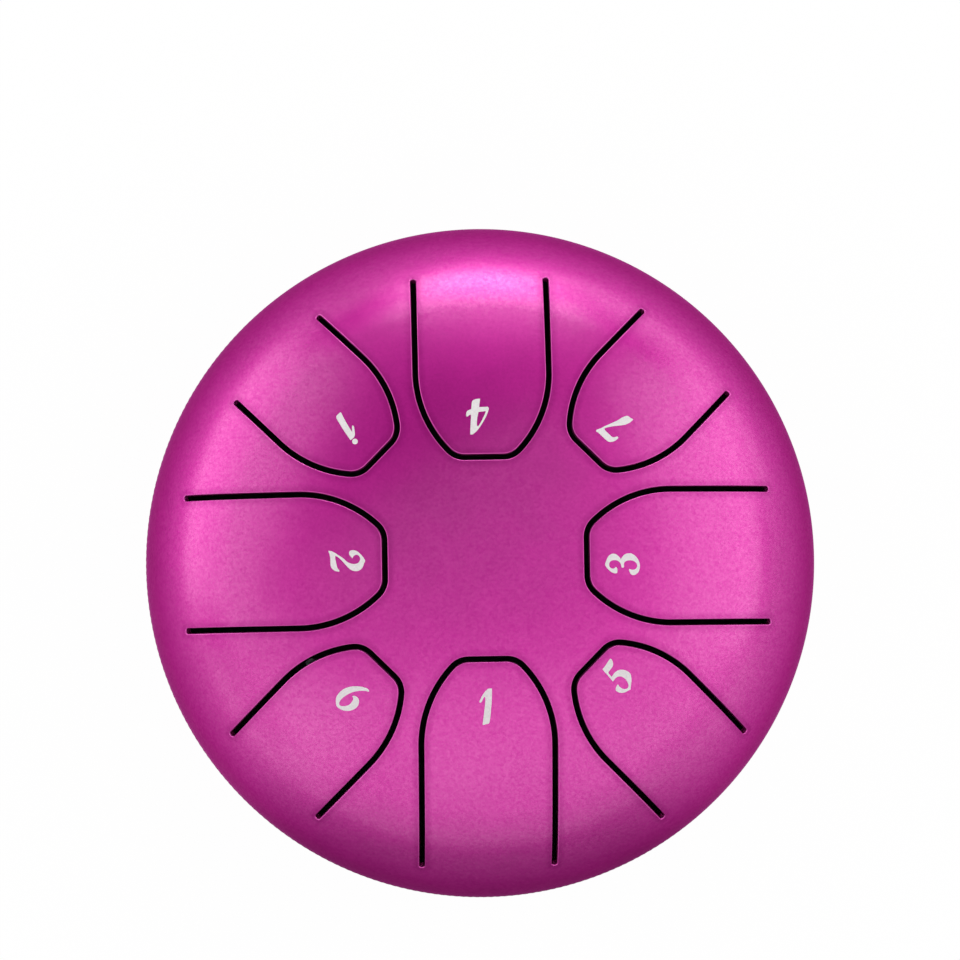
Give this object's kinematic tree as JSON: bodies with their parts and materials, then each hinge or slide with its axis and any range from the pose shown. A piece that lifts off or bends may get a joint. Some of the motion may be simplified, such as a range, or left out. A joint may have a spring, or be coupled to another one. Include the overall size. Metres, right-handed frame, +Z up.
{
  "type": "steel tongue drum",
  "caption": "Round steel drum struck on tuned tongues cut into its domed top, with a sound hole underneath and rubber feet.",
  "frame": {"origin": "on the ground under the middle of the drum, level with the underside of its feet", "axes": "+Z up along the drum's axis; -Y towards the player, at the tongue of note 1; +X to the player's right"},
  "size_m": [0.1554, 0.1554, 0.0901],
  "materials": {
    "shell_paint": "glossy metallic magenta lacquer",
    "tongue_paint": "glossy metallic magenta lacquer, the same coat as the shell",
    "foot_rubber": "matte black moulded rubber",
    "fastener_steel": "bright zinc-plated steel"
  },
  "bodies": {
    "drum": {"top_shell": "shell_paint", "bottom_shell": "shell_paint", "seam_weld": "shell_paint", "foot_1": "foot_rubber", "foot_2": "foot_rubber", "foot_3": "foot_rubber", "foot_screw_1": "fastener_steel", "foot_screw_2": "fastener_steel", "foot_screw_3": "fastener_steel", "foot_washer_1": "fastener_steel", "foot_washer_2": "fastener_steel", "foot_washer_3": "fastener_steel", "inner_washer_1": "fastener_steel", "inner_washer_2": "fastener_steel", "inner_washer_3": "fastener_steel", "nut_1": "fastener_steel", "nut_2": "fastener_steel", "nut_3": "fastener_steel"},
    "tongue_1": {"tongue_1": "tongue_paint"},
    "tongue_2": {"tongue_2": "tongue_paint"},
    "tongue_3": {"tongue_3": "tongue_paint"},
    "tongue_4": {"tongue_4": "tongue_paint"},
    "tongue_5": {"tongue_5": "tongue_paint"},
    "tongue_6": {"tongue_6": "tongue_paint"},
    "tongue_7": {"tongue_7": "tongue_paint"},
    "tongue_high_1": {"tongue_high_1": "tongue_paint"}
  },
  "joints": [
    {"name": "tongue_1_bend", "type": "hinge", "parent": "drum", "child": "tongue_1", "pos_m": [0, -0.06952, 0.06878], "axis": [1, 0, 0], "range_deg": [-0.6, 0.6], "stiffness_Nm_per_rad": 96},
    {"name": "tongue_2_bend", "type": "hinge", "parent": "drum", "child": "tongue_2", "pos_m": [-0.06776, 0, 0.07075], "axis": [0, -1, 0], "range_deg": [-0.6, 0.6], "stiffness_Nm_per_rad": 101},
    {"name": "tongue_3_bend", "type": "hinge", "parent": "drum", "child": "tongue_3", "pos_m": [0.06503, 0, 0.07325], "axis": [0, 1, 0], "range_deg": [-0.6, 0.6], "stiffness_Nm_per_rad": 109},
    {"name": "tongue_4_bend", "type": "hinge", "parent": "drum", "child": "tongue_4", "pos_m": [0, 0.06395, 0.07409], "axis": [-1, 0, 0], "range_deg": [-0.6, 0.6], "stiffness_Nm_per_rad": 113},
    {"name": "tongue_5_bend", "type": "hinge", "parent": "drum", "child": "tongue_5", "pos_m": [0.04964, -0.04964, 0.06792], "axis": [0.7071, 0.7071, 0], "range_deg": [-0.6, 0.6], "stiffness_Nm_per_rad": 105},
    {"name": "tongue_6_bend", "type": "hinge", "parent": "drum", "child": "tongue_6", "pos_m": [-0.0484, -0.0484, 0.07002], "axis": [0.7071, -0.7071, 0], "range_deg": [-0.6, 0.6], "stiffness_Nm_per_rad": 113},
    {"name": "tongue_7_bend", "type": "hinge", "parent": "drum", "child": "tongue_7", "pos_m": [0.04688, 0.04688, 0.07216], "axis": [-0.7071, 0.7071, 0], "range_deg": [-0.6, 0.6], "stiffness_Nm_per_rad": 122},
    {"name": "tongue_high_1_bend", "type": "hinge", "parent": "drum", "child": "tongue_high_1", "pos_m": [-0.04646, 0.04646, 0.07268], "axis": [-0.7071, -0.7071, 0], "range_deg": [-0.6, 0.6], "stiffness_Nm_per_rad": 125}
  ]
}
